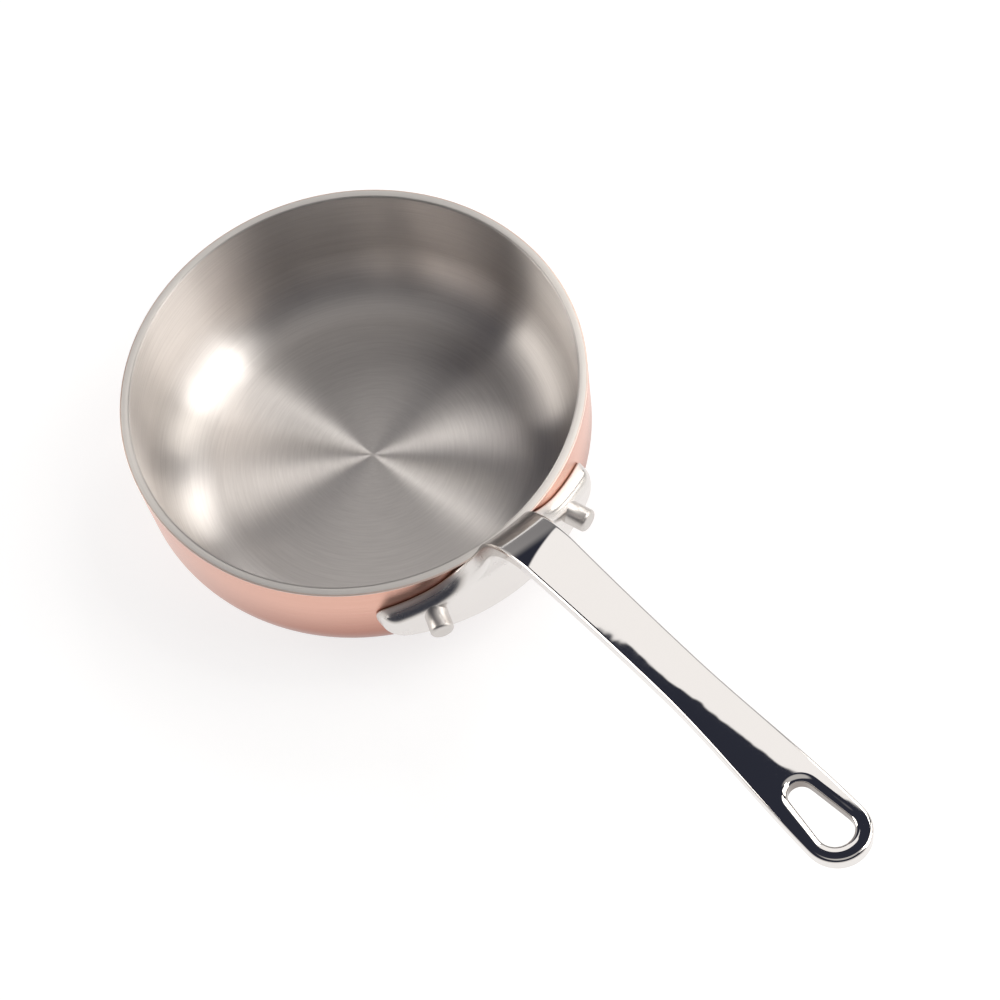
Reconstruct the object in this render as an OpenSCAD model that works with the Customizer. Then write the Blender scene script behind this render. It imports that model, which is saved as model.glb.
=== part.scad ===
// Small saucepan in three bonded metals, with a cast handle held by two rivets.
// The pan's centre line is Z, its underside is at z = 0, and the handle points along +X.

/* [Pan] */
// Diameter of the pan across the outer edge of its rim
rim_d = 120; // [100:1:200]
// Height of the pan from its underside to its rim
pan_h = 39; // [36:1:90]
// Angle by which the wall leans out from upright
wall_lean = 1.5; // [0:0.25:6]
// Outer radius of the bend between base and wall
corner_r = 18.5; // [10:0.5:22]

/* [Layers of the pan] */
// Thickness of the copper outside
copper_t = 0.4; // [0.2:0.05:1]
// Thickness of the aluminium between the two skins
core_t = 1.6; // [0.8:0.1:3]
// Thickness of the stainless steel inside
liner_t = 0.5; // [0.3:0.05:1]

/* [Flange of the handle] */
// Width of the flange from one wing tip to the other
flange_w = 65; // [56:0.5:80]
// Thickness of the flange, out from the wall
flange_t = 5; // [4.2:0.2:8]
// Depth of the flange's lower edge below the rim, at its middle
flange_drop = 21.6; // [18:0.2:24]
// Height by which the lower edge climbs from its middle to the wing tips
wing_lift = 3.8; // [2:0.2:6]
// Radius of the flange's two lower corners
flange_corner_r = 5; // [1:0.5:7]
// Depth of the wings' upper edge below the rim, at the wing tips
wing_tip_drop = 9.8; // [7:0.2:11]
// Radius of the wing tips' upper corners
wing_tip_r = 2.4; // [0.6:0.2:4]
// Angle at which the wings' upper edge climbs towards the arm
wing_climb = 20; // [10:1:30]
// Width of the arm's root at the level of the rim
root_w = 15.4; // [14:0.2:24]
// Radius that sweeps each wing up into the root
root_sweep_r = 20; // [10:1:26]

/* [Arm of the handle] */
// Level distance from the rim to the far end of the handle
arm_reach = 131; // [110:0.5:220]
// Depth below the rim at which the root leaves the wall
root_drop = 2; // [0:0.5:6]
// Angle of the root, up from level
root_climb = 74; // [60:1:84]
// Angle at which the arm climbs away from the bend
arm_climb = 12.4; // [2:0.2:25]
// Height above the rim at which the line of the arm's top would meet the wall
arm_spring = 24.8; // [22:0.2:36]
// Thickness of the arm
arm_t = 4; // [3:0.25:5]
// Radius of the bend from root to arm, on top
bend_r = 30; // [16:1:34]
// Radius of the bend from the flange's face to the root, underneath
heel_r = 16; // [6:1:24]
// Radius at which the outer half of the arm curves back towards level
droop_r = 470; // [300:10:2000]
// Level distance from the rim to where that curve begins
droop_start = 70; // [50:1:90]
// Width of the arm where the bend ends
arm_w = 13; // [10:0.2:16]
// Least width of the arm
neck_w = 11.6; // [8:0.2:15]
// Level distance from the rim to the narrowest place
neck_reach = 71; // [50:1:90]
// Width of the rounded far end, which is half a disc
paddle_w = 15.4; // [13:0.2:22]

/* [Hanging hole] */
// Radius of the hole's end nearer the pan
hole_near_r = 2.9; // [2:0.1:3.6]
// Radius of the hole's end nearer the tip
hole_far_r = 4.2; // [3.8:0.1:5]
// Distance between the centres of the hole's two ends
hole_span = 11; // [6:0.2:20]
// Distance from the tip of the handle to the centre of the hole's far end
hole_inset = 8.4; // [7:0.1:12]
// Width of the bevel around the hole, on top and below
hole_bevel = 1; // [0.2:0.1:1.4]

/* [Rivets] */
// Diameter of the rivets' shanks
rivet_d = 6; // [4:0.25:8]
// Length of shank that stands out of the flange
rivet_proud = 5.3; // [1:0.1:9]
// Distance between the rivets' axes, where they leave the wall of the pan
rivet_pitch = 39.3; // [36:0.1:44]
// Depth of the rivets' axes below the rim
rivet_drop = 9.5; // [9:0.25:12]
// Bevel around the end of each shank
rivet_bevel = 0.4; // [0.1:0.1:1]
// Diameter of the rivets' heads inside the pan
head_d = 11; // [9:0.5:14]
// Height of the heads' domes
head_h = 1.6; // [0.8:0.1:3]

/* [Fits] */
// Clearance between the wall and the flange that is drawn up against it
seat_gap = 0.1; // [0.05:0.05:0.3]
// Clearance all round a rivet in its holes
rivet_fit = 0.05; // [0.02:0.01:0.2]
// Width of the countersink around each rivet in the face of the flange
hole_relief = 0.3; // [0.1:0.05:0.6]

/* [Hidden] */
$fn = 96;

// Steps in a full turn where an outline is worked out point by point
turn_steps = 120;
// Reach of a cut past the face it starts from
overrun = 1;
// Length over which the straight of the arm runs back into its bend
join_lap = 1;
// Depth by which a straight side runs inside the arc that it joins, so that the two cross
join_inset = 0.02;

rim_r = rim_d / 2;
wall_t = copper_t + core_t + liner_t;

// Radius of the wall at height z, at a depth into the wall from its outer face
function wall_r(z, depth = 0) = rim_r - (pan_h - z) * tan(wall_lean) - depth / cos(wall_lean);

// Place of the centre of the bend between base and wall, out from the pan's centre line
bend_centre = wall_r(corner_r, corner_r);

// Points of an arc about a centre, where the path's heading turns from one angle to another
function clockwise_arc(centre, r, from, to) =
    let (steps = max(2, ceil((from - to) / 360 * turn_steps)))
    [for (i = [0:steps]) let (h = from + (to - from) * i / steps) centre + r * [-sin(h), cos(h)]];

// Points of an arc about a centre, where the path's heading turns the other way
function anticlockwise_arc(centre, r, from, to) = [for (p = clockwise_arc([0, 0], r, -from, -to))
    centre + [p[0], -p[1]]];

// The arc of a clockwise turn, where the corner of the path's two headings is given
function corner_arc(corner, r, from, to) =
    let (start = corner - r * tan((from - to) / 2) * [cos(from), sin(from)])
    clockwise_arc(start + r * [sin(from), -cos(from)], r, from, to);

// Where a line through p at angle a meets a line through q at angle b
function meet(p, a, q, b) =
    p + [cos(a), sin(a)] * ((q[0] - p[0]) * sin(b) - (q[1] - p[1]) * cos(b)) / sin(b - a);

// A value that eases from a to b while t goes from 0 to 1
function eased(a, b, t) = let (u = min(1, max(0, t))) a + (b - a) * u * u * (3 - 2 * u);

function mirrored(points) = [for (i = [len(points) - 1:-1:0]) [points[i][0], -points[i][1]]];

// Half section of everything inside one layer's outer face, from the floor past the rim
module bowl_section(depth) {
    arc = [bend_centre, corner_r];
    wall_start = arc + (corner_r - depth - join_inset) * [cos(wall_lean), -sin(wall_lean)];
    rim = [wall_r(pan_h, depth), pan_h];
    past_rim = rim + overrun * (rim - wall_start) / (pan_h - wall_start[1]);
    polygon([[0, depth], [bend_centre, depth], arc, wall_start, past_rim, [0, past_rim[1]]]);
    translate(arc) circle(r = corner_r - depth);
}

// One layer of the pan, between two depths into its wall, with the rivets' holes
module layer(depth, t) {
    difference() {
        rotate_extrude() intersection() {
            difference() {
                bowl_section(depth);
                bowl_section(depth + t);
            }
            square([rim_d, pan_h]);
        }
        for (side = [-1, 1]) rivet_place(side) cylinder(d = rivet_d + 2 * rivet_fit, h = rim_r);
    }
}

// Angle of each rivet from the handle's centre line, about the pan's centre
rivet_angle = asin(rivet_pitch / 2 / wall_r(pan_h - rivet_drop));

// Turns what points up along a rivet's axis, out from the pan's centre line
module rivet_place(side) {
    rotate([0, 0, side * rivet_angle]) translate([0, 0, pan_h - rivet_drop]) rotate([0, 90, 0]) children();
}

// Side view of the handle, as distance out from the pan's centre line and height
foot_z = pan_h - flange_drop;
wall_heading = 90 - wall_lean;
back_foot = [wall_r(foot_z) + seat_gap, foot_z];
front_foot = back_foot + [flange_t, 0];
root_start = [wall_r(pan_h - root_drop) + seat_gap, pan_h - root_drop];
arm_line = [wall_r(pan_h) + seat_gap, pan_h + arm_spring];
bend_corner = meet(root_start, root_climb, arm_line, arm_climb);
heel_corner = meet(front_foot, wall_heading, root_start + arm_t * [sin(root_climb), -cos(root_climb)], root_climb);

// Where the bend ends on the arm's top, and where the outer half begins to curve
bend_end = bend_corner + bend_r * tan((root_climb - arm_climb) / 2) * [cos(arm_climb), sin(arm_climb)];
droop_at = meet([rim_r + droop_start, 0], 90, arm_line, arm_climb);
tip_x = rim_r + arm_reach;

// Angle of the arm's top at a distance out from the pan's centre line, and its height there
function arm_angle(x) = asin(sin(arm_climb) - max(0, x - droop_at[0]) / droop_r);
function arm_top(x) = x < droop_at[0]
    ? arm_line[1] + (x - arm_line[0]) * tan(arm_climb)
    : droop_at[1] + droop_r * (cos(arm_angle(x)) - cos(arm_climb));

// The flange, the root and the bend, seen from the side
module flange_section() {
    // Turning circle's centre, shared by the top and the underside of the bend
    turn = bend_end + bend_r * [sin(arm_climb), -cos(arm_climb)];
    under = clockwise_arc(turn, bend_r - arm_t, root_climb, arm_climb);
    heel = corner_arc(heel_corner, heel_r, wall_heading, root_climb);
    polygon(concat(
        [back_foot, root_start],
        clockwise_arc(turn, bend_r, root_climb, arm_climb),
        [for (i = [len(under) - 1:-1:0]) under[i]],
        [for (i = [len(heel) - 1:-1:0]) heel[i]],
        [front_foot]
    ));
}

// The arm from the end of the bend to its tip, seen from the side
module arm_section() {
    droop = clockwise_arc(droop_at + droop_r * [sin(arm_climb), -cos(arm_climb)], droop_r,
        arm_climb, arm_angle(tip_x));
    start = bend_end - join_lap * [cos(arm_climb), sin(arm_climb)];
    under = clockwise_arc(droop_at + droop_r * [sin(arm_climb), -cos(arm_climb)], droop_r - arm_t,
        arm_climb, arm_angle(tip_x + arm_t));
    polygon(concat(
        [start],
        droop,
        [for (i = [len(under) - 1:-1:0]) under[i]],
        [start + arm_t * [sin(arm_climb), -cos(arm_climb)]]
    ));
}

// One side of the flange's outline from the front, as distance from its middle and height
wing_tip = [flange_w / 2, pan_h - wing_tip_drop];
root_heading = 90 + atan((root_w - arm_w) / 2 / (bend_end[1] - pan_h));
root_corner = meet(wing_tip, 180 - wing_climb, [root_w / 2, pan_h], root_heading);

function wing_outline() =
    let (
        // The lower edge is one wide arc, which the corner's arc meets smoothly
        belly_r = (wing_tip[0] * wing_tip[0] + wing_lift * wing_lift) / (2 * wing_lift),
        corner_x = wing_tip[0] - flange_corner_r,
        corner_angle = asin(corner_x / (belly_r - flange_corner_r)),
        corner_z = foot_z + belly_r - (belly_r - flange_corner_r) * cos(corner_angle),
        tip_centre = wing_tip - wing_tip_r * [1, tan(45 - wing_climb / 2)]
    )
    concat(
        anticlockwise_arc([0, foot_z + belly_r], belly_r, 0, corner_angle),
        anticlockwise_arc([corner_x, corner_z], flange_corner_r, corner_angle, 90),
        anticlockwise_arc(tip_centre, wing_tip_r, 90, 180 - wing_climb),
        corner_arc(root_corner, root_sweep_r, 180 - wing_climb, root_heading),
        [[arm_w / 2, bend_end[1] + arm_t]]
    );

// Flange with its two wings, and the bend that turns up and out into the arm
module flange() {
    outline = wing_outline();
    intersection() {
        rotate([0, 0, -90]) rotate_extrude(angle = 180) flange_section();
        rotate([90, 0, 90]) linear_extrude(height = rim_d) {
            polygon(concat(outline, [for (i = [len(outline) - 1:-1:1]) [-outline[i][0], outline[i][1]]]));
        }
    }
}

// Half of the arm's width at a distance out from the pan's centre line
neck_x = rim_r + neck_reach;
function arm_half(x) = x < neck_x
    ? neck_w / 2 + (arm_w - neck_w) / 2 * pow((neck_x - x) / (neck_x - bend_end[0]), 2)
    : eased(neck_w / 2, paddle_w / 2, (x - neck_x) / (tip_x - paddle_w / 2 - neck_x));

// Plan of the arm from above
module arm_plan() {
    steps = 24;
    swell_end = tip_x - paddle_w / 2;
    side = concat(
        [for (i = [0:steps])
            let (x = bend_end[0] - arm_t + (swell_end - bend_end[0] + arm_t) * i / steps) [x, arm_half(x)]],
        clockwise_arc([swell_end, 0], paddle_w / 2, 0, -90)
    );
    polygon(concat(side, mirrored(side)));
}

// Angle at which the hole's straight sides spread towards the tip, and their length
hole_spread = asin((hole_far_r - hole_near_r) / hole_span);
hole_side = hole_span * cos(hole_spread);

// The hanging hole about the centre of its far end, from z = 0 up to a height
module hole_shaft(h) {
    near_side = [-hole_span, 0] + (hole_near_r - join_inset) * [-sin(hole_spread), cos(hole_spread)];
    far_side = (hole_far_r - join_inset) * [-sin(hole_spread), cos(hole_spread)];
    translate([-hole_span, 0, 0]) cylinder(r = hole_near_r, h = h);
    cylinder(r = hole_far_r, h = h);
    linear_extrude(height = h) polygon(concat([near_side, far_side], mirrored([near_side, far_side])));
}

// The bevel around the hole, which starts at its edge at z = 0 and widens upwards at 45 degrees
module hole_flare() {
    flare = hole_bevel + overrun;
    translate([-hole_span, 0, 0]) cylinder(r1 = hole_near_r, r2 = hole_near_r + flare, h = flare);
    cylinder(r1 = hole_far_r, r2 = hole_far_r + flare, h = flare);
    for (side = [0, 1]) mirror([0, side, 0])
        translate([-hole_span, 0, 0]) rotate([0, 0, hole_spread]) translate([0, hole_near_r - join_inset, 0])
            rotate([90, 0, 90]) linear_extrude(height = hole_side)
                polygon([[-hole_near_r, 0], [0, 0], [flare, flare], [-hole_near_r, flare]]);
}

// The arm, with the hanging hole cut square to its top
module arm() {
    hole_x = tip_x - hole_inset;
    difference() {
        intersection() {
            rotate([90, 0, 0]) linear_extrude(height = paddle_w + overrun, center = true) arm_section();
            linear_extrude(height = arm_top(tip_x) + overrun) arm_plan();
        }
        translate([hole_x, 0, arm_top(hole_x)]) rotate([0, -arm_angle(hole_x), 0]) {
            translate([0, 0, -arm_t - overrun]) hole_shaft(arm_t + 2 * overrun);
            translate([0, 0, -hole_bevel]) hole_flare();
            translate([0, 0, hole_bevel - arm_t]) rotate([180, 0, 0]) hole_flare();
        }
    }
}

// Length of a rivet's axis from the pan's centre line to the face of the flange
flange_face = wall_r(pan_h - rivet_drop) + seat_gap + flange_t;

// The inner face of the wall at the rivets, and how far a flat head stands off its curve
wall_inside = wall_r(pan_h - rivet_drop - head_d / 2, wall_t);
head_seat = sqrt(wall_inside * wall_inside - head_d * head_d / 4) - rivet_fit;

module rivet() {
    // Radius of the ball of which the head's dome is a slice
    dome_r = (head_d * head_d / 4 + head_h * head_h) / (2 * head_h);
    tip = flange_face + rivet_proud;
    rotate_extrude() union() {
        polygon([[0, head_seat - head_h / 4], [rivet_d / 2, head_seat - head_h / 4],
            [rivet_d / 2, tip - rivet_bevel], [rivet_d / 2 - rivet_bevel, tip], [0, tip]]);
        intersection() {
            translate([0, head_seat - head_h + dome_r]) circle(r = dome_r);
            translate([0, head_seat - head_h]) square([head_d, head_h]);
        }
    }
}

module copper_shell() {
    color("#C77E64") layer(0, copper_t);
}

module aluminium_core() {
    color("#C9CACB") layer(copper_t, core_t);
}

module steel_liner() {
    color("#A9A6A3") layer(copper_t + core_t, liner_t);
}

module handle() {
    color("#DEDAD7") difference() {
        union() {
            flange();
            arm();
        }
        for (side = [-1, 1]) rivet_place(side) {
            cylinder(d = rivet_d + 2 * rivet_fit, h = rim_d);
            translate([0, 0, flange_face - hole_relief])
                cylinder(d1 = rivet_d, d2 = rivet_d + 4 * hole_relief, h = 2 * hole_relief);
        }
    }
}

module left_rivet() {
    color("#BDB8B4") rivet_place(-1) rivet();
}

module right_rivet() {
    color("#BDB8B4") rivet_place(1) rivet();
}

copper_shell();
aluminium_core();
steel_liner();
handle();
left_rivet();
right_rivet();
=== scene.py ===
import math

import bmesh
import bpy
import numpy as np
from mathutils import Matrix, Vector
from mathutils.geometry import delaunay_2d_cdt


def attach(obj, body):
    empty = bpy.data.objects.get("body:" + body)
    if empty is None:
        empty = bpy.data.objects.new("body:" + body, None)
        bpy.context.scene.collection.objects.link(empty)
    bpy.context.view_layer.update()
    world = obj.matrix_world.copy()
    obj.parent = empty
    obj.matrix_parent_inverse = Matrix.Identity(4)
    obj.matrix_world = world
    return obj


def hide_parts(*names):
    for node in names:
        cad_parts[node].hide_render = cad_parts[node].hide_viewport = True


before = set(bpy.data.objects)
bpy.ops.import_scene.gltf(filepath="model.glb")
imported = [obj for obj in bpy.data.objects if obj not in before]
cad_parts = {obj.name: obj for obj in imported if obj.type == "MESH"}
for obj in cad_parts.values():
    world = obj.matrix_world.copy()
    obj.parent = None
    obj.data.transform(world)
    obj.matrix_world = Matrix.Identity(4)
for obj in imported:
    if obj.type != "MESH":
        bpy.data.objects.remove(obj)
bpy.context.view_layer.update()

# Camera
# It stands where the photograph was taken from: 680 mm from the middle of the rim, high up and a little to
# the left of the handle, with a long lens. It is rolled, so that the handle points down to the right.
mm = 0.001
rim_centre = Vector((0, 0, 39 * mm))
camera_distance = 680 * mm
bearing = math.radians(67.3)
height_angle = math.radians(57.721)
yaw = math.radians(-2.344)
pitch = math.radians(-3.266)
roll = math.radians(-16.246)
away = Vector((math.sin(bearing) * math.cos(height_angle), -math.cos(bearing) * math.cos(height_angle),
               math.sin(height_angle)))
across = Vector((math.cos(bearing), math.sin(bearing), 0))
axes = Matrix((across, away.cross(across), away)).transposed()
axes = axes @ Matrix.Rotation(yaw, 3, "Y") @ Matrix.Rotation(pitch, 3, "X") @ Matrix.Rotation(roll, 3, "Z")
camera = bpy.data.objects.new("camera", bpy.data.cameras.new("camera"))
camera.data.lens = 96.24
camera.data.sensor_width = 36
camera.data.clip_start = 10 * mm
camera.matrix_world = Matrix.Translation(rim_centre + camera_distance * away) @ axes.to_4x4()
bpy.context.scene.collection.objects.link(camera)
bpy.context.scene.camera = camera
bpy.context.scene.view_settings.view_transform = "Standard"


# Table and studio
# The table is a matt white board. Around it are white cards, eight soft lamps and a dark room with a pale
# ceiling. The polished steel mirrors all of them, so their shapes decide how it looks.
def linear(code):
    """The linear colour of an sRGB hex code."""
    parts = [int(code[i:i + 2], 16) / 255 for i in (1, 3, 5)]
    return tuple(c / 12.92 if c <= 0.04045 else ((c + 0.055) / 1.055) ** 2.4 for c in parts) + (1.0,)


def add(tree, kind, inputs=(), **settings):
    """Adds a node to a tree. Each input is set to its value, or linked where that is a node's socket. In a
    MapRange, 0 is the value, 1 and 2 are the ends of its range, and 3 and 4 the ends of the result."""
    made = tree.nodes.new("ShaderNode" + kind)
    for name, value in settings.items():
        setattr(made, name, value)
    for socket, value in dict(inputs).items():
        if isinstance(value, bpy.types.NodeSocket):
            tree.links.new(value, made.inputs[socket])
        else:
            made.inputs[socket].default_value = value
    return made


table_radius = 420 * mm
table_middle = 60 * mm
table_gap = 0.2 * mm
white = (1, 1, 1, 1)
table_mesh = bmesh.new()
bmesh.ops.create_circle(table_mesh, cap_ends=True, segments=96, radius=table_radius)
table_data = bpy.data.meshes.new("table")
table_mesh.to_mesh(table_data)
table_mesh.free()
table = bpy.data.objects.new("table", table_data)
table.location = (table_middle, 0, -table_gap)
bpy.context.scene.collection.objects.link(table)

# Matt white board. Its own grey takes the light and the shadows. A plain glow, which only the camera and what
# mirrors the board can see, lifts it to white, so the shadows stay faint.
white_board = bpy.data.materials.new("matt_white_board")
white_board.use_nodes = True
tree = white_board.node_tree
tree.nodes.clear()
rays = add(tree, "LightPath")
seen = add(tree, "Math", {0: rays.outputs["Is Camera Ray"], 1: rays.outputs["Is Glossy Ray"]},
           operation="MAXIMUM")
seen = add(tree, "Math", {0: seen.outputs[0], 1: rays.outputs["Is Transmission Ray"]}, operation="MAXIMUM")
glow = add(tree, "Math", {0: seen.outputs[0], 1: 0.77}, operation="MULTIPLY")
board = add(tree, "BsdfDiffuse", {"Color": linear("#A0A0A0")})
light = add(tree, "Emission", {"Color": white, "Strength": glow.outputs[0]})
both = add(tree, "AddShader", {0: board.outputs[0], 1: light.outputs[0]})
add(tree, "OutputMaterial", {"Surface": both.outputs[0]})
table_data.materials.append(white_board)

# What stands around the set is drawn on the world, by the direction from the pan. Its brightness is given as
# light, where 1 is white.
room_navy = linear("#2F323E")
card_white = (1.13, 1.12, 1.11, 1)
low_card_white = (0.78, 0.76, 0.74, 1)
ceiling_grey = (0.56, 0.55, 0.54, 1)
studio = bpy.data.worlds.new("studio")
bpy.context.scene.world = studio
studio.use_nodes = True
tree = studio.node_tree
tree.nodes.clear()
direction = add(tree, "TexCoord").outputs["Generated"]
upward = (0, 0, 1)
downward = (0, 0, -1)


def side_of(normal, low, high):
    """1 where a direction lies past a plane through the pan, softly between two sines of its angle to it."""
    past = add(tree, "VectorMath", {0: direction, 1: normal}, operation="DOT_PRODUCT").outputs["Value"]
    return add(tree, "MapRange", {0: past, 1: low, 2: high}, interpolation_type="SMOOTHSTEP").outputs[0]


# A white card stands behind the pan. Its upper edge steps up to the right, and its lower left corner is cut
# off on a slant, which gives the arm's dark reflection and the dark band across its bend their shapes.
level_top = side_of(downward, -0.683, -0.679)
step_up = side_of((-0.213, 0.876, -0.433), 0, 0.012)
highest_top = side_of(downward, -0.802, -0.794)
cut_corner = side_of((0.374, 0.847, 0.377), -0.012, 0.012)
lower_edge = side_of(upward, 0.2, 0.26)
right_end = side_of((-0.866, -0.5, 0), 0, 0.15)
card = add(tree, "Math", {0: step_up, 1: level_top}, operation="MAXIMUM").outputs[0]
for limit in (highest_top, cut_corner, lower_edge, right_end):
    card = add(tree, "Math", {0: card, 1: limit}, operation="MULTIPLY").outputs[0]
# A low card runs all round the set, and fades behind the pan.
low_card_top = side_of(downward, -0.33, -0.12)
fade = side_of((0.866, -0.5, 0), -1.3, -0.4)
low_card = add(tree, "Math", {0: fade, 1: low_card_top}, operation="MULTIPLY").outputs[0]
# The ceiling, straight above, fills in the floor of the pan and the rim.
ceiling = side_of(upward, 0.89, 0.95)
room = add(tree, "MixRGB", {0: card, 1: room_navy, 2: card_white}).outputs[0]
room = add(tree, "MixRGB", {0: low_card, 1: room, 2: low_card_white}).outputs[0]
room = add(tree, "MixRGB", {0: ceiling, 1: room, 2: ceiling_grey}).outputs[0]
rays = add(tree, "LightPath")
shown = add(tree, "MixRGB", {0: rays.outputs["Is Camera Ray"], 1: room, 2: white})
sky = add(tree, "Background", {"Color": shown.outputs[0], "Strength": 1.0})
add(tree, "OutputWorld", {"Surface": sky.outputs[0]})

lamp_target = Vector((0, 0, 40 * mm))
lamp_distance = 1500 * mm


def softbox(name, azimuth, elevation, width, height, brightness, colour):
    """A soft lamp that faces the pan. Its size is in metres, and its cloth is white at a brightness of 1."""
    lamp = bpy.data.lights.new(name, "AREA")
    lamp.shape = "RECTANGLE"
    lamp.size = width
    lamp.size_y = height
    lamp.energy = brightness * math.pi * width * height
    lamp.color = linear(colour)[:3]
    a, e = math.radians(azimuth), math.radians(elevation)
    way = Vector((math.cos(a) * math.cos(e), math.sin(a) * math.cos(e), math.sin(e)))
    held = bpy.data.objects.new(name, lamp)
    held.location = lamp_target + way * lamp_distance
    held.rotation_euler = way.to_track_quat("Z", "Y").to_matrix().to_euler()
    held.visible_camera = False
    bpy.context.scene.collection.objects.link(held)


# These make the fan of light towards the handle's root, and the upper of the two highlights at the left.
softbox("main_softbox", 39, 40, 0.4, 1.3, 2.2, "#FFFDFA")
softbox("wide_softbox", 58, 42, 0.38, 1.0, 4.4, "#FFFDFA")
softbox("spot_softbox", 63, 65, 0.14, 0.14, 16.0, "#FFFDFA")
# This one brightens the pan's left wall.
softbox("low_softbox", 47, 11, 0.9, 0.28, 2.6, "#FFF9F0")
# These make the flatter fan, the lower highlight and the bright edges of the right wing and the arm's tip.
softbox("second_softbox", 77, 38, 0.42, 1.2, 2.6, "#FFFBF4")
softbox("third_softbox", 108, 26, 0.4, 0.5, 3.5, "#FFFBF4")
softbox("back_softbox", 114, 47.5, 0.42, 0.34, 5.6, "#FFFDFA")
# This one makes the gleam on the pan's right wall, and the thin bright line along the arm's left edge.
softbox("side_softbox", -137, 19, 0.9, 0.8, 3.8, "#FFFBF5")

# Copper shell
# The outer layer of the pan is thin copper. It was bonded to the other two layers as flat sheet, pressed to
# shape with them and rubbed to a satin finish. The rim's radius is 60 mm, drawn 0.02 mm smaller so that it
# stays inside the solid's flat facets.
rim_radius = 59.98
pan_height = 39
lean = math.radians(1.5)
bend_radius = 18.5
copper_thickness = 0.4
rim_width = 2.5
rim_crown_radius = 9


def wall_radius(z, depth=0):
    """Radius of the wall at a height, at a depth into it from its outer face."""
    return rim_radius - (pan_height - z) * math.tan(lean) - depth / math.cos(lean)


def rounded(corners, spacing=2.5):
    """A line through corners of (x, y, radius), each turned round its radius in steps of a few degrees."""
    corners = [np.array(c, float) for c in corners]
    line = [corners[0][:2]]
    for before, at, after in zip(corners, corners[1:], corners[2:]):
        a = (before - at)[:2] / np.hypot(*(before - at)[:2])
        b = (after - at)[:2] / np.hypot(*(after - at)[:2])
        half = math.acos(max(-1, min(1, a @ b))) / 2
        hardly_bent = math.pi / 2 - half < 0.0008
        if at[2] == 0 or hardly_bent:
            line.append(at[:2])
            continue
        reach = at[2] / math.tan(half)
        centre = at[:2] + (a + b) / np.hypot(*(a + b)) * at[2] / math.sin(half)
        u, v = at[:2] + a * reach - centre, at[:2] + b * reach - centre
        sweep = math.atan2(u[0] * v[1] - u[1] * v[0], u @ v)
        steps = max(4, math.ceil(abs(math.degrees(sweep)) / spacing))
        for i in range(steps + 1):
            c, s = math.cos(sweep * i / steps), math.sin(sweep * i / steps)
            line.append(centre + np.array([u[0] * c - u[1] * s, u[0] * s + u[1] * c]))
    line.append(corners[-1][:2])
    return np.array(line)


def finished_mesh(name, points, faces, normals):
    """An object of points in millimetres, shaded by its own normals."""
    data = bpy.data.meshes.new(name)
    data.from_pydata((np.asarray(points) * mm).tolist(), [], faces)
    work = bmesh.new()
    work.from_mesh(data)
    bmesh.ops.recalc_face_normals(work, faces=work.faces)
    work.to_mesh(data)
    work.free()
    data.shade_smooth()
    data.normals_split_custom_set_from_vertices(np.asarray(normals, float).tolist())
    made = bpy.data.objects.new(name, data)
    bpy.context.scene.collection.objects.link(made)
    return made


def turned(name, line, steps=240):
    """Turns a line of (radius, height), which starts and ends on the axis, into a closed piece."""
    sides = np.diff(line, axis=0)
    length = np.hypot(*sides.T)
    square = np.stack([sides[:, 1], -sides[:, 0]], 1) / length[:, None] ** 2
    facing = np.concatenate([[[0, square[0, 1]]], square[:-1] + square[1:], [[0, square[-1, 1]]]])
    facing /= np.hypot(*facing.T)[:, None]
    angles = np.linspace(0, 2 * math.pi, steps, endpoint=False)
    points, normals, rings = [], [], []
    for (r, z), (out, up) in zip(line, facing):
        ring = angles if r > 0 else angles[:1]
        rings.append([len(points) + i % len(ring) for i in range(steps)])
        for a in ring:
            points.append((r * math.cos(a), r * math.sin(a), z))
            normals.append((out * math.cos(a), out * math.sin(a), up))
    faces = []
    for low, high in zip(rings, rings[1:]):
        for i in range(steps):
            j = (i + 1) % steps
            corners = dict.fromkeys([low[i], low[j], high[j], high[i]])
            if len(corners) > 2:
                faces.append(list(corners))
    return finished_mesh(name, points, faces, normals)


def rim_point(depth, edge=0):
    """A corner in the top of the rim, which is turned slightly round across all three layers."""
    radius = wall_radius(pan_height, depth)
    return radius, pan_height - (depth - rim_width / 2) ** 2 / (2 * rim_crown_radius), edge


def layer(name, depth, thickness, outer_edge, inner_edge, top_points=0):
    """One layer of the pan, between two depths into the wall. A wide top takes some points across it."""
    deep = depth + thickness
    top = [rim_point(depth + thickness * (i + 1) / (top_points + 1)) for i in range(top_points)]
    return turned(name, rounded([
        (0, depth, 0), (wall_radius(depth, depth), depth, bend_radius - depth),
        rim_point(depth, outer_edge), *top, rim_point(deep, inner_edge),
        (wall_radius(deep, deep), deep, bend_radius - deep), (0, deep, 0)]))


copper_shell = layer("copper_outer_shell", 0, copper_thickness, outer_edge=0.15, inner_edge=0.03)


def pan_coordinates(tree):
    """How far out and up a point of the pan is, added together in millimetres, and its direction."""
    where = add(tree, "TexCoord")
    flat = add(tree, "VectorMath", {0: where.outputs["Object"], 1: (1, 1, 0)}, operation="MULTIPLY")
    out = add(tree, "VectorMath", {0: flat.outputs[0]}, operation="LENGTH")
    way = add(tree, "VectorMath", {0: flat.outputs[0]}, operation="NORMALIZE")
    parts = add(tree, "SeparateXYZ", {0: where.outputs["Object"]})
    along = add(tree, "Math", {0: out.outputs["Value"], 1: parts.outputs["Z"]}, operation="ADD")
    along = add(tree, "Math", {0: along.outputs[0], 1: 1 / mm}, operation="MULTIPLY")
    way = add(tree, "SeparateXYZ", {0: way.outputs[0]})
    return along.outputs[0], way.outputs["X"], way.outputs["Y"]


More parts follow.
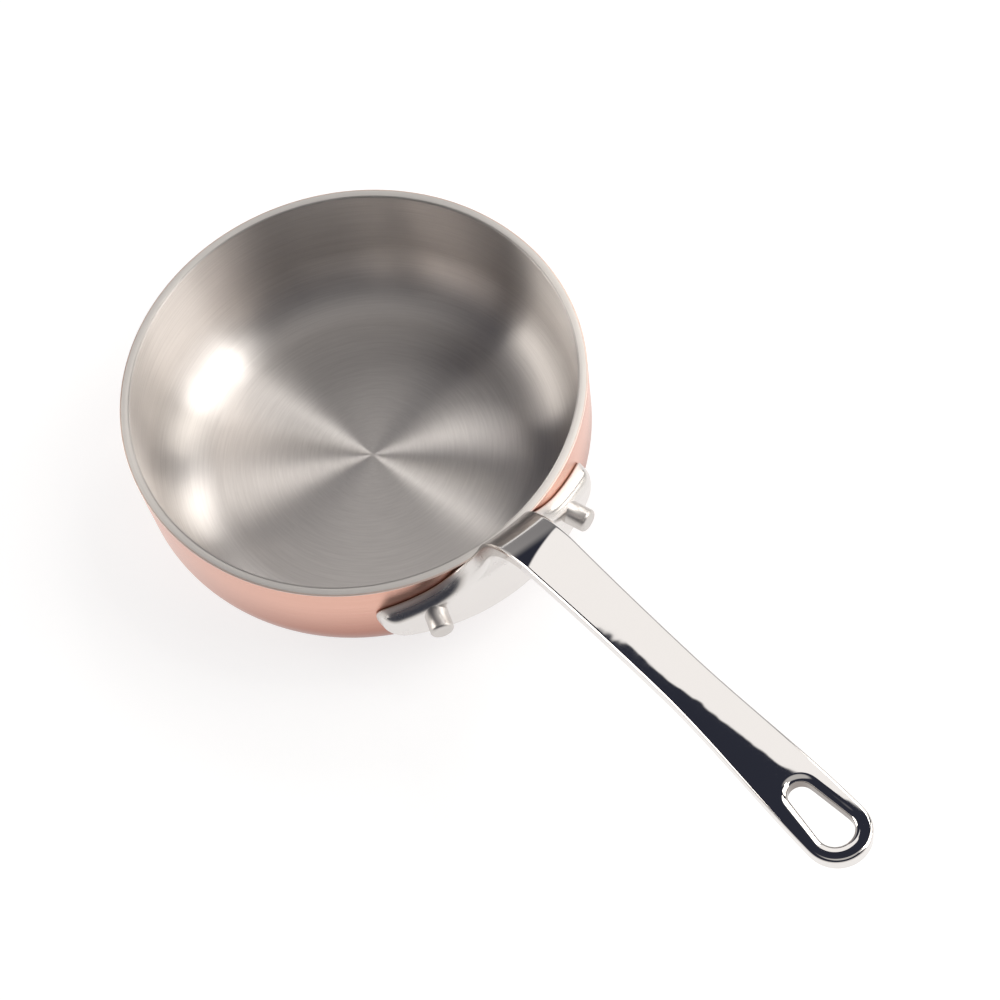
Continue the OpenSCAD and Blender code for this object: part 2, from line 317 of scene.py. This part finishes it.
def ring_marks(tree, pitch, arc, detail=2.0, roughness=0.5):
    """Marks that run round the pan, a pitch apart in millimetres. The greater arc, the shorter they are."""
    along, x, y = pan_coordinates(tree)
    along = add(tree, "Math", {0: along, 1: 1 / pitch}, operation="MULTIPLY")
    x = add(tree, "Math", {0: x, 1: arc}, operation="MULTIPLY")
    y = add(tree, "Math", {0: y, 1: arc}, operation="MULTIPLY")
    spot = add(tree, "CombineXYZ", {0: along.outputs[0], 1: x.outputs[0], 2: y.outputs[0]})
    return add(tree, "TexNoise", {"Vector": spot.outputs[0], "Scale": 1.0, "Detail": detail,
                                  "Roughness": roughness}).outputs["Fac"]


def metal(name, colour, roughness):
    """A metallic material, its node tree and its shader, in a plain finish that its marks then vary."""
    made = bpy.data.materials.new(name)
    made.use_nodes = True
    shader = made.node_tree.nodes["Principled BSDF"]
    shader.inputs["Base Color"].default_value = linear(colour)
    shader.inputs["Metallic"].default_value = 1.0
    shader.inputs["Roughness"].default_value = roughness
    return made, made.node_tree, shader


# Satin copper: pink and soft, with fine marks of the polishing wheel that run round the pan. The real marks
# are about 0.1 mm apart, and are drawn 0.5 mm apart so that they show. Low down beside the handle it has
# painted shade, a darker red for the wing's shadow and its dark reflection, and it is pale along the cut edge
# at the top.
satin_copper, tree, shader = metal("satin_copper", "#E9B3A3", 0.25)
marks = ring_marks(tree, pitch=0.5, arc=3.0)
tint = add(tree, "MixRGB", {0: marks, 1: linear("#DEA894"), 2: linear("#EABAA9")})
where = add(tree, "TexCoord")
parts = add(tree, "SeparateXYZ", {0: where.outputs["Object"]})
# Painted shade: darker red low down beside the handle, for the wing's shadow and its dark reflection
near = add(tree, "MapRange", {0: parts.outputs["X"], 1: -20 * mm, 2: 45 * mm},
           interpolation_type="SMOOTHSTEP")
low = add(tree, "MapRange", {0: parts.outputs["Z"], 1: 34 * mm, 2: 6 * mm},
          interpolation_type="SMOOTHSTEP")
painted_shade = add(tree, "Math", {0: near.outputs[0], 1: low.outputs[0]}, operation="MULTIPLY")
tint = add(tree, "MixRGB", {0: painted_shade.outputs[0], 1: tint.outputs[0], 2: linear("#8F4D3A")})
cut = add(tree, "MapRange", {0: parts.outputs["Z"], 1: 38.4 * mm, 2: 38.8 * mm})
tint = add(tree, "MixRGB", {0: cut.outputs[0], 1: tint.outputs[0], 2: linear("#E6D3C9")})
tree.links.new(tint.outputs[0], shader.inputs["Base Color"])
gloss = add(tree, "MapRange", {0: marks, 3: 0.2, 4: 0.3})
rough_cut = add(tree, "Math", {0: cut.outputs[0], 1: 0.2}, operation="MULTIPLY")
gloss = add(tree, "Math", {0: gloss.outputs[0], 1: rough_cut.outputs[0]}, operation="ADD")
tree.links.new(gloss.outputs[0], shader.inputs["Roughness"])
shader.inputs["Anisotropic"].default_value = 0.5
shader.inputs["Anisotropic Rotation"].default_value = 0.25
round_way = add(tree, "Tangent", direction_type="RADIAL", axis="Z")
tree.links.new(round_way.outputs[0], shader.inputs["Tangent"])
copper_shell.data.materials.append(satin_copper)
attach(copper_shell, "root")
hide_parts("copper_shell")

# Aluminium core
# The thick middle layer is aluminium, which spreads the heat. It is bonded between the two skins, and only
# its edge shows, where the top of the rim was cut bright on the lathe.
core_thickness = 1.6
aluminium_core = layer("aluminium_core_layer", copper_thickness, core_thickness, outer_edge=0.03,
                       inner_edge=0.03, top_points=7)

# Turned aluminium: pale and satin, with fine rings from the lathe tool, about as far apart as its feed.
turned_aluminium, tree, shader = metal("turned_aluminium", "#E6E4E2", 0.5)
shader.inputs["Anisotropic"].default_value = 0.6
shader.inputs["Anisotropic Rotation"].default_value = 0.25
round_way = add(tree, "Tangent", direction_type="RADIAL", axis="Z")
tree.links.new(round_way.outputs[0], shader.inputs["Tangent"])
marks = ring_marks(tree, pitch=0.35, arc=2.0)
tint = add(tree, "MixRGB", {0: marks, 1: linear("#E2DDD8"), 2: linear("#F2EDE8")})
tree.links.new(tint.outputs[0], shader.inputs["Base Color"])
aluminium_core.data.materials.append(turned_aluminium)
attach(aluminium_core, "root")
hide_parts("aluminium_core")

# Steel liner
# The inside of the pan is a skin of stainless steel, bonded to the core. It was brushed in rings while the
# pan turned on a wheel.
liner_thickness = 0.5
liner_depth = copper_thickness + core_thickness
steel_liner = layer("steel_inner_liner", liner_depth, liner_thickness, outer_edge=0.03, inner_edge=0.3)

# Brushed stainless steel: the rings throw light out in fans that meet in the middle of the floor. The real
# rings are about 0.1 mm apart, and are drawn 0.6 mm apart so that they show. The wall is a little smoother
# than the floor, and the cut edge at the top is dull.
brushed_steel, tree, shader = metal("ring_brushed_stainless_steel", "#DDD9D5", 0.4)
marks = ring_marks(tree, pitch=0.6, arc=3.0, detail=3.0, roughness=0.6)
tint = add(tree, "MixRGB", {0: marks, 1: linear("#D2CCC8"), 2: linear("#ECE7E3")})
tree.links.new(tint.outputs[0], shader.inputs["Base Color"])
along, _, _ = pan_coordinates(tree)
# The finish changes where the floor begins to turn up
floor_to_wall = {0: along, 1: 43.0, 2: 56.0, 3: 0.36, 4: 0.34}
gloss = add(tree, "MapRange", floor_to_wall, interpolation_type="SMOOTHSTEP")
grain = add(tree, "MapRange", {0: marks, 3: -0.03, 4: 0.03})
cut = add(tree, "MapRange", {0: along, 1: 95.6, 2: 96.2, 3: 0.0, 4: 0.3})
gloss = add(tree, "Math", {0: gloss.outputs[0], 1: grain.outputs[0]}, operation="ADD")
gloss = add(tree, "Math", {0: gloss.outputs[0], 1: cut.outputs[0]}, operation="ADD")
tree.links.new(gloss.outputs[0], shader.inputs["Roughness"])
shader.inputs["Anisotropic"].default_value = 1.0
shader.inputs["Anisotropic Rotation"].default_value = 0.25
round_way = add(tree, "Tangent", direction_type="RADIAL", axis="Z")
tree.links.new(round_way.outputs[0], shader.inputs["Tangent"])
steel_liner.data.materials.append(brushed_steel)
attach(steel_liner, "root")
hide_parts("steel_liner")

# Handle
# One casting in stainless steel, ground and polished bright, and held by two rivets. A flange with two wings
# lies against the pan, and a root rises from it past the rim, bends over and runs out as a flat arm with a
# hanging hole.
flange_drop = 21.6  # from the rim down to the flange's lowest point
seat_gap = 0.1
flange_thickness = 5
arm_thickness = 4
thinning_start = 14  # up from the flange's lowest point
thinning_past_bend = 4
root_start_drop = 2  # from the rim down to where the root leaves the wall
root_heading = 74  # degrees above level, as the next one is
arm_heading = 12.4
arm_spring = 24.8  # from the rim up to the arm's straight line, drawn back over it
top_bend_radius = 30
back_bend_radius = 20
droop_radius = 470
droop_x = 130  # where the arm begins to curve back towards level
tip_x = 191
crown_radius = 80  # of the arm's faces, from side to side
crown_rise = 30  # the length in which that crown grows from flat
flattening = 34  # the length in which the flange's curve round the pan ends


def crossing(p, a, q, b):
    """Where a line through p at heading a meets a line through q at heading b."""
    a, b = math.radians(a), math.radians(b)
    reach = ((q[0] - p[0]) * math.sin(b) - (q[1] - p[1]) * math.cos(b)) / math.sin(b - a)
    return p[0] + reach * math.cos(a), p[1] + reach * math.sin(a)


foot_z = pan_height - flange_drop
foot = (wall_radius(foot_z) + seat_gap, foot_z)
root_z = pan_height - root_start_drop
root_corner = (wall_radius(root_z) + seat_gap, root_z)
above_rim = (rim_radius + seat_gap, pan_height + arm_spring)
bend_corner = crossing(root_corner, root_heading, above_rim, arm_heading)

# The upper line of the casting from the side, as stretches of (length, change of heading): up the wall, the
# back bend, the root, the top bend, the straight arm and its droop. It runs on a little past both ends.
overrun = 3
wall_heading = 90 - math.degrees(lean)
back_turn = wall_heading - root_heading
top_turn = root_heading - arm_heading
tip_heading = math.degrees(math.asin(math.sin(math.radians(arm_heading)) - (tip_x - droop_x) / droop_radius))
droop_turn = arm_heading - tip_heading
back_reach = back_bend_radius * math.tan(math.radians(back_turn) / 2)
bend_reach = top_bend_radius * math.tan(math.radians(top_turn) / 2)
bend_end_x = bend_corner[0] + bend_reach * math.cos(math.radians(arm_heading))
stretches = [
    (math.dist(foot, root_corner) - back_reach, 0),
    (back_bend_radius * math.radians(back_turn), back_turn),
    (math.dist(root_corner, bend_corner) - back_reach - bend_reach, 0),
    (top_bend_radius * math.radians(top_turn), top_turn),
    ((droop_x - bend_end_x) / math.cos(math.radians(arm_heading)), 0),
    (droop_radius * math.radians(droop_turn), droop_turn),
    (overrun, 0)]
step = 0.1
run = np.arange(-overrun, sum(length for length, turn in stretches), step)
bending = np.zeros(len(run))
start = 0
for length, turn in stretches:
    bending[(run >= start) & (run < start + length)] = math.radians(turn) / length
    start += length
# The grinding wheel blends each bend into the next straight, over this length
blend_length = 5
blend = np.hanning(round(blend_length / step) + 1)
bending = np.convolve(bending, blend / blend.sum(), "same")
heading = math.radians(wall_heading) - np.cumsum(bending) * step
line_x = np.cumsum(np.cos(heading)) * step
line_z = np.cumsum(np.sin(heading)) * step
line_x += foot[0] - np.interp(0, run, line_x)
line_z += foot[1] - np.interp(0, run, line_z)
bend_start = stretches[0][0] + stretches[1][0] + stretches[2][0]
thinning_end = bend_start + thinning_past_bend


def eased(value, low, high):
    """0 below low, 1 above high, and smooth between them."""
    t = np.clip((value - low) / (high - low), 0, 1)
    return t * t * (3 - 2 * t)


def thickness(s):
    """The casting thins from the flange to the arm."""
    return flange_thickness + (arm_thickness - flange_thickness) * eased(s, thinning_start, thinning_end)


def bent(s, y, h):
    """Bends the flat blank to shape: s runs along the handle, y across it, and h up from its upper face. The
    arm is crowned above and below, and the flange is wrapped round the pan."""
    crown = eased(s, bend_start, bend_start + crown_rise) / crown_radius
    h = h - crown * y * y / 2 * (1 + 2 * h / thickness(s))
    way = np.interp(s, run, heading)
    out = np.interp(s, run, line_x) - np.sin(way) * h
    up = np.interp(s, run, line_z) + np.cos(way) * h
    wrapped = 1 - eased(s, bend_start, bend_start + flattening)
    out = out - wrapped * (out - np.sqrt(np.maximum(out ** 2 - y ** 2, 0)))
    return np.stack([out, y + 0 * out, up], -1)


def shaded(s, y, h, slope):
    """Normals of the bent blank, from the normals (along, across, up) that its surface had while flat."""
    ahead, nudge = 0.2, 0.05
    along = (bent(s + ahead, y, h) - bent(s - ahead, y, h)) / (2 * ahead)
    side = (bent(s, y + nudge, h) - bent(s, y - nudge, h)) / (2 * nudge)
    up = (bent(s, y, h + nudge) - bent(s, y, h - nudge)) / (2 * nudge)
    normal = (slope[:, :1] * np.cross(side, up) + slope[:, 1:2] * np.cross(up, along)
              + slope[:, 2:] * np.cross(along, side))
    return normal / np.linalg.norm(normal, axis=1)[:, None]


def arc(centre, radius, start, end, spacing=3):
    """Points of an arc along which the line's heading turns from start to end, in degrees."""
    side = 1 if end > start else -1
    turn = np.radians(np.linspace(start, end, max(4, math.ceil(abs(end - start) / spacing))))
    return np.array(centre) + side * radius * np.stack([np.sin(turn), -np.cos(turn)], 1)


# Outline of the flange from the front, as (half width, height): a round belly, a lower corner, the wing's
# tip and the sweep up into the root
wing_half = 32.5
wing_lift = 3.8  # how far the belly rises from its middle to its sides
lower_corner = 5
tip_drop = 9.8  # from the rim down to the wing's tip
tip_corner = 3.0
wing_climb = 20  # degrees above level, from the tip towards the root
root_half = 7.7
arm_half = 6.5
root_sweep = 20
bend_end_z = bend_corner[1] + bend_reach * math.sin(math.radians(arm_heading))
belly = (wing_half ** 2 + wing_lift ** 2) / (2 * wing_lift)
corner_y = wing_half - lower_corner
corner_turn = math.degrees(math.asin(corner_y / (belly - lower_corner)))
corner_z = foot_z + belly - (belly - lower_corner) * math.cos(math.radians(corner_turn))
wing_tip = np.array([wing_half, pan_height - tip_drop])
wing_tip_centre = wing_tip - tip_corner * np.array([1, math.tan(math.radians(45 - wing_climb / 2))])
side_heading = 90 + math.degrees(math.atan((root_half - arm_half) / (bend_end_z - pan_height)))
climb = math.radians(wing_climb)
sweep_corner = crossing(wing_tip, 180 - wing_climb, (root_half, pan_height), side_heading)
sweep_reach = root_sweep * math.tan(math.radians(180 - wing_climb - side_heading) / 2)
sweep_start = np.array(sweep_corner) + sweep_reach * np.array([math.cos(climb), -math.sin(climb)])
sweep_centre = sweep_start + root_sweep * np.array([math.sin(climb), math.cos(climb)])
flange_half = np.concatenate([
    arc((0, foot_z + belly), belly, 0, corner_turn),
    arc((corner_y, corner_z), lower_corner, corner_turn, 90),
    arc(wing_tip_centre, tip_corner, 90, 180 - wing_climb),
    arc(sweep_centre, root_sweep, 180 - wing_climb, side_heading),
    [[arm_half, bend_end_z]]])
flange_half = np.stack([np.interp(flange_half[:, 1], line_z, run), flange_half[:, 0]], 1)

# Outline of the arm from above, as (distance from the pan's centre line, half width). The tip slopes, and
# its lower edge reaches a little further out than the upper one.
neck_x = 131  # where the arm is narrowest
neck_half = 5.8
end_half = 7.7
tip_slope = 0.22
end_x = tip_x - tip_slope - end_half
x = np.linspace(bend_end_x, end_x, 60)[1:]
half = np.where(x < neck_x, neck_half + (arm_half - neck_half) * ((neck_x - x) / (neck_x - bend_end_x)) ** 2,
                neck_half + (end_half - neck_half) * eased(x, neck_x, end_x))
arm_side = np.concatenate([np.stack([x, half], 1), arc((end_x, 0), end_half, 0, -90)[1:]])
arm_side[:, 0] = np.interp(arm_side[:, 0], line_x, run)
outline = np.concatenate([flange_half, arm_side])
outline = np.concatenate([outline, outline[-2:0:-1] * (1, -1)])[::-1]


def even(loop, spacing):
    """A closed line again, with points the same distance apart and its corners softened a little, and the way
    out of it at each point."""
    loop = np.vstack([loop, loop[:1]])
    length = np.concatenate([[0], np.cumsum(np.hypot(*np.diff(loop, axis=0).T))])
    at = np.linspace(0, length[-1], int(length[-1] / spacing), endpoint=False)
    loop = np.stack([np.interp(at, length, loop[:, 0]), np.interp(at, length, loop[:, 1])], 1)
    for _ in range(4):
        loop = loop / 2 + (np.roll(loop, 1, 0) + np.roll(loop, -1, 0)) / 4
    way = np.roll(loop, -1, 0) - np.roll(loop, 1, 0)
    way /= np.hypot(*way.T)[:, None]
    return loop, np.stack([way[:, 1], -way[:, 0]], 1)


outline = even(outline, spacing=0.5)

# The hanging hole is a slot with two round ends, the outer one wider
hole_from_tip = 8.4  # to the centre of the outer end
hole_span = 11  # between the centres of both ends
hole_near_radius = 2.9
hole_far_radius = 4.2
hole_far = np.interp(tip_x - hole_from_tip, line_x, run)
hole_near = hole_far - hole_span
spread = math.degrees(math.asin((hole_far_radius - hole_near_radius) / hole_span))
turns = np.radians(np.linspace(90 + spread, 270 - spread, 40))
near_end = np.stack([hole_near + hole_near_radius * np.cos(turns), hole_near_radius * np.sin(turns)], 1)
turns = np.radians(np.linspace(-90 - spread, 90 + spread, 60))
far_end = np.stack([hole_far + hole_far_radius * np.cos(turns), hole_far_radius * np.sin(turns)], 1)
hanging_hole = even(np.concatenate([near_end, far_end])[::-1], spacing=0.35)

points, normals, faces = [], [], []


def place(s, y, h, slope):
    """Adds points of the blank to the handle, and returns their numbers."""
    start = len(points)
    points.extend(bent(s, y, h))
    normals.extend(shaded(s, y, h, slope))
    return list(range(start, len(points)))


def strip(low, high):
    """Joins two rings of points."""
    for i in range(len(low)):
        j = (i + 1) % len(low)
        faces.append([low[i], low[j], high[j], high[i]])


def rolled_edge(loop, way, upper, lower):
    """Rounds an edge from the upper face to the lower one, by a width and a depth for each, and returns the
    rings where it meets them."""
    angles = np.radians(np.linspace(90, 0, 11))
    rings = []
    for side, (width, depth) in ((1, upper), (-1, lower)):
        for a in angles[::side]:
            inner = loop - way * (width * (1 - math.cos(a)))[:, None]
            lift = depth * (1 - math.sin(a))
            h = -lift if side == 1 else lift - thickness(inner[:, 0])
            slope = np.column_stack([way * (depth * math.cos(a))[:, None], side * width * math.sin(a)])
            rings.append((inner, place(inner[:, 0], inner[:, 1], h, slope)))
    for (_, low), (_, high) in zip(rings, rings[1:]):
        strip(low, high)
    return rings[0], rings[-1]


def inside(loop, at):
    """Whether each point lies inside a closed line."""
    x, y = at[:, 0], at[:, 1]
    found = np.zeros(len(at), bool)
    for (x0, y0), (x1, y1) in zip(loop, np.roll(loop, -1, 0)):
        crossed = (y0 > y) != (y1 > y)
        if crossed.any():
            found[crossed] ^= x[crossed] < x0 + (y[crossed] - y0) * (x1 - x0) / (y1 - y0)
    return found


def face_of(border, hole, side, grid=0.9):
    """Fills the upper or lower face between its border and the hole with small triangles."""
    (border_line, border_ring), (hole_line, hole_ring) = border, hole
    flat = np.concatenate([border_line, hole_line])
    edges, start = [], 0
    for count in (len(border_line), len(hole_line)):
        edges += [(start + i, start + (i + 1) % count) for i in range(count)]
        start += count
    margin = 0.5
    clear = 0.4 * grid
    tolerance = 1e-7
    s, y = np.meshgrid(np.arange(1, run[-1], grid), np.arange(-wing_half - margin, wing_half + margin, grid))
    fill = np.stack([s.ravel(), y.ravel()], 1)
    fill = fill[inside(border_line, fill) & ~inside(hole_line, fill)]
    parts = np.array_split(flat, 20)
    gap = np.min([np.min((fill[:, None] - part) ** 2 @ np.ones(2), 1) for part in parts], 0)
    fill = fill[gap > clear ** 2]
    h = np.zeros(len(fill)) if side == 1 else -thickness(fill[:, 0])
    slope = np.tile([0.0, 0.0, side], (len(fill), 1))
    numbers = border_ring + hole_ring + place(fill[:, 0], fill[:, 1], h, slope)
    every = np.concatenate([flat, fill])
    _, _, triangles, sources, _, _ = delaunay_2d_cdt([Vector(p) for p in every], edges, [], 0, tolerance)
    centres = np.array([every[[sources[i][0] for i in t]].mean(0) for t in triangles])
    keep = inside(border_line, centres) & ~inside(hole_line, centres)
    faces.extend([numbers[sources[i][0]] for i in t] for t, kept in zip(triangles, keep) if kept)


# The wings' edge towards the pan is sharp, and the one towards the front is round. Along the root both change
# to the small radius of the arm's edges. The hole's edges are eased more across than down.
wing_back_radius = 0.6
wing_front_radius = 2.5
arm_edge_radius = 0.8
arm_edge_start = 20
arm_edge_end = 36
hole_edge_width = 1.9
hole_edge_depth = 1.0
on_arm = eased(outline[0][:, 0], arm_edge_start, arm_edge_end)
back_radius = wing_back_radius + (arm_edge_radius - wing_back_radius) * on_arm
front_radius = wing_front_radius + (arm_edge_radius - wing_front_radius) * on_arm
hole_edge = [np.full(len(hanging_hole[0]), size) for size in (hole_edge_width, hole_edge_depth)]
upper_border, lower_border = rolled_edge(*outline, (back_radius, back_radius), (front_radius, front_radius))
upper_hole, lower_hole = rolled_edge(*hanging_hole, hole_edge, hole_edge)
face_of(upper_border, upper_hole, side=1)
face_of(lower_border, lower_hole, side=-1)
handle = finished_mesh("cast_handle", points, faces, normals)

# Polished stainless steel: a clean mirror on the arm, with the shallow waves that polishing by hand leaves in
# a casting, 5 mm apart. The flange and the root are polished less, and mirror softly.
polished_steel, tree, shader = metal("polished_stainless_steel", "#E4E0DD", 0.05)
where = add(tree, "TexCoord")
parts = add(tree, "SeparateXYZ", {0: where.outputs["Object"]})
root_to_arm = {0: parts.outputs["X"], 1: 66 * mm, 2: 78 * mm, 3: 0.26, 4: 0.02}
soft = add(tree, "MapRange", root_to_arm, interpolation_type="SMOOTHSTEP")
# The back of the wings' edges, next to the copper, is only ground
flat = add(tree, "VectorMath", {0: where.outputs["Object"], 1: (1, 1, 0)}, operation="MULTIPLY")
out = add(tree, "VectorMath", {0: flat.outputs[0]}, operation="LENGTH")
ground = add(tree, "MapRange", {0: out.outputs["Value"], 1: 61.1 * mm, 2: 62 * mm, 3: 0.22, 4: 0.0})
soft = add(tree, "Math", {0: soft.outputs[0], 1: ground.outputs[0]}, operation="ADD")
# Faint clouds, 3 in 10 mm, vary the polish
cloud = add(tree, "TexNoise", {"Vector": where.outputs["Object"], "Scale": 3 / (10 * mm), "Detail": 2.0})
cloud = add(tree, "MapRange", {0: cloud.outputs["Fac"], 3: 0.0, 4: 0.02})
gloss = add(tree, "Math", {0: soft.outputs[0], 1: cloud.outputs[0]}, operation="ADD")
tree.links.new(gloss.outputs[0], shader.inputs["Roughness"])
# The wall of the hanging hole is a darker grey
facing = add(tree, "SeparateXYZ", {0: where.outputs["Normal"]})
upright = add(tree, "Math", {0: facing.outputs["Z"]}, operation="ABSOLUTE")
upright = add(tree, "MapRange", {0: upright.outputs[0], 1: 0.75, 2: 0.3})
aside = add(tree, "Math", {0: parts.outputs["Y"]}, operation="ABSOLUTE")
aside = add(tree, "MapRange", {0: aside.outputs[0], 1: 5.2 * mm, 2: 4.7 * mm})
past_neck = add(tree, "MapRange", {0: parts.outputs["X"], 1: 166 * mm, 2: 167 * mm})
before_tip = add(tree, "MapRange", {0: parts.outputs["X"], 1: 188.8 * mm, 2: 188.2 * mm})
hole_wall = upright.outputs[0]
for limit in (aside, past_neck, before_tip):
    hole_wall = add(tree, "Math", {0: hole_wall, 1: limit.outputs[0]}, operation="MULTIPLY").outputs[0]
tint = add(tree, "MixRGB", {0: hole_wall, 1: linear("#E4E0DD"), 2: linear("#8F8782")})
tree.links.new(tint.outputs[0], shader.inputs["Base Color"])
# The waves grow along the arm, and the flange has none
wave = add(tree, "TexNoise", {"Vector": where.outputs["Object"], "Scale": 1 / (5 * mm), "Detail": 1.0})
strength = add(tree, "MapRange", {0: parts.outputs["X"], 1: 80 * mm, 2: 140 * mm})
relief = {"Height": wave.outputs["Fac"], "Strength": strength.outputs[0], "Distance": 0.02 * mm}
relief = add(tree, "Bump", relief)
tree.links.new(relief.outputs[0], shader.inputs["Normal"])
handle.data.materials.append(polished_steel)
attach(handle, "root")
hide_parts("handle")

# Rivets
# Two stainless steel rivets hold the handle. Each has a low domed head inside the pan, and its shank goes
# through the wall and the flange and stands out of it as a short satin pin.
rivet_radius = 3
rivet_pitch = 39.3  # between the two, across the handle
rivet_drop = 9.5  # from the rim down to their axes
head_radius = 5.5
head_height = 1.6
head_brim = 0.12  # height of the head's edge, below the dome
head_edge = 0.1
head_gap = 0.05  # between the head's flat seat and the round wall, at the edge
pin_length = 5.3
pin_edge = 0.9
rivet_z = pan_height - rivet_drop
rivet_angle = math.asin(rivet_pitch / 2 / wall_radius(rivet_z))
flange_face = wall_radius(rivet_z) + seat_gap + flange_thickness
pin_end = flange_face + pin_length
wall_inside = wall_radius(rivet_z - head_radius, liner_depth + liner_thickness)
head_seat = math.sqrt(wall_inside ** 2 - head_radius ** 2) - head_gap
head_top = head_seat - head_height
dome_radius = (head_radius ** 2 + head_height ** 2) / (2 * head_height)
dome_turn = math.degrees(math.asin(head_radius / dome_radius))
dome = arc((0, head_top + dome_radius), dome_radius, 0, dome_turn)
rivet_line = rounded([
    (0, head_top, 0), *[(r, z, 0) for r, z in dome[1:-1]], (head_radius, head_seat - head_brim, head_edge),
    (head_radius, head_seat, 0), (rivet_radius, head_seat, 0), (rivet_radius, pin_end, pin_edge),
    (0, pin_end, 0)])

# Satin stainless steel: cut square on a lathe and rubbed with a fine abrasive, so it only half mirrors what
# is near. The real scratches are finer, and the grain is drawn at 12 in 10 mm so that it shows.
satin_steel, tree, shader = metal("satin_stainless_steel", "#D2CDC9", 0.27)
where = add(tree, "TexCoord")
grain = add(tree, "TexNoise", {"Vector": where.outputs["Object"], "Scale": 12 / (10 * mm), "Detail": 2.0})
gloss = add(tree, "MapRange", {0: grain.outputs["Fac"], 3: 0.36, 4: 0.42})
tree.links.new(gloss.outputs[0], shader.inputs["Roughness"])
for side, name in ((-1, "left_rivet"), (1, "right_rivet")):
    rivet = turned(name + "_pin", rivet_line, steps=96)
    rivet.data.materials.append(satin_steel)
    turn = Matrix.Rotation(side * rivet_angle, 4, "Z") @ Matrix.Rotation(math.pi / 2, 4, "Y")
    rivet.matrix_world = Matrix.Translation((0, 0, rivet_z * mm)) @ turn
    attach(rivet, "root")
    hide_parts(name)
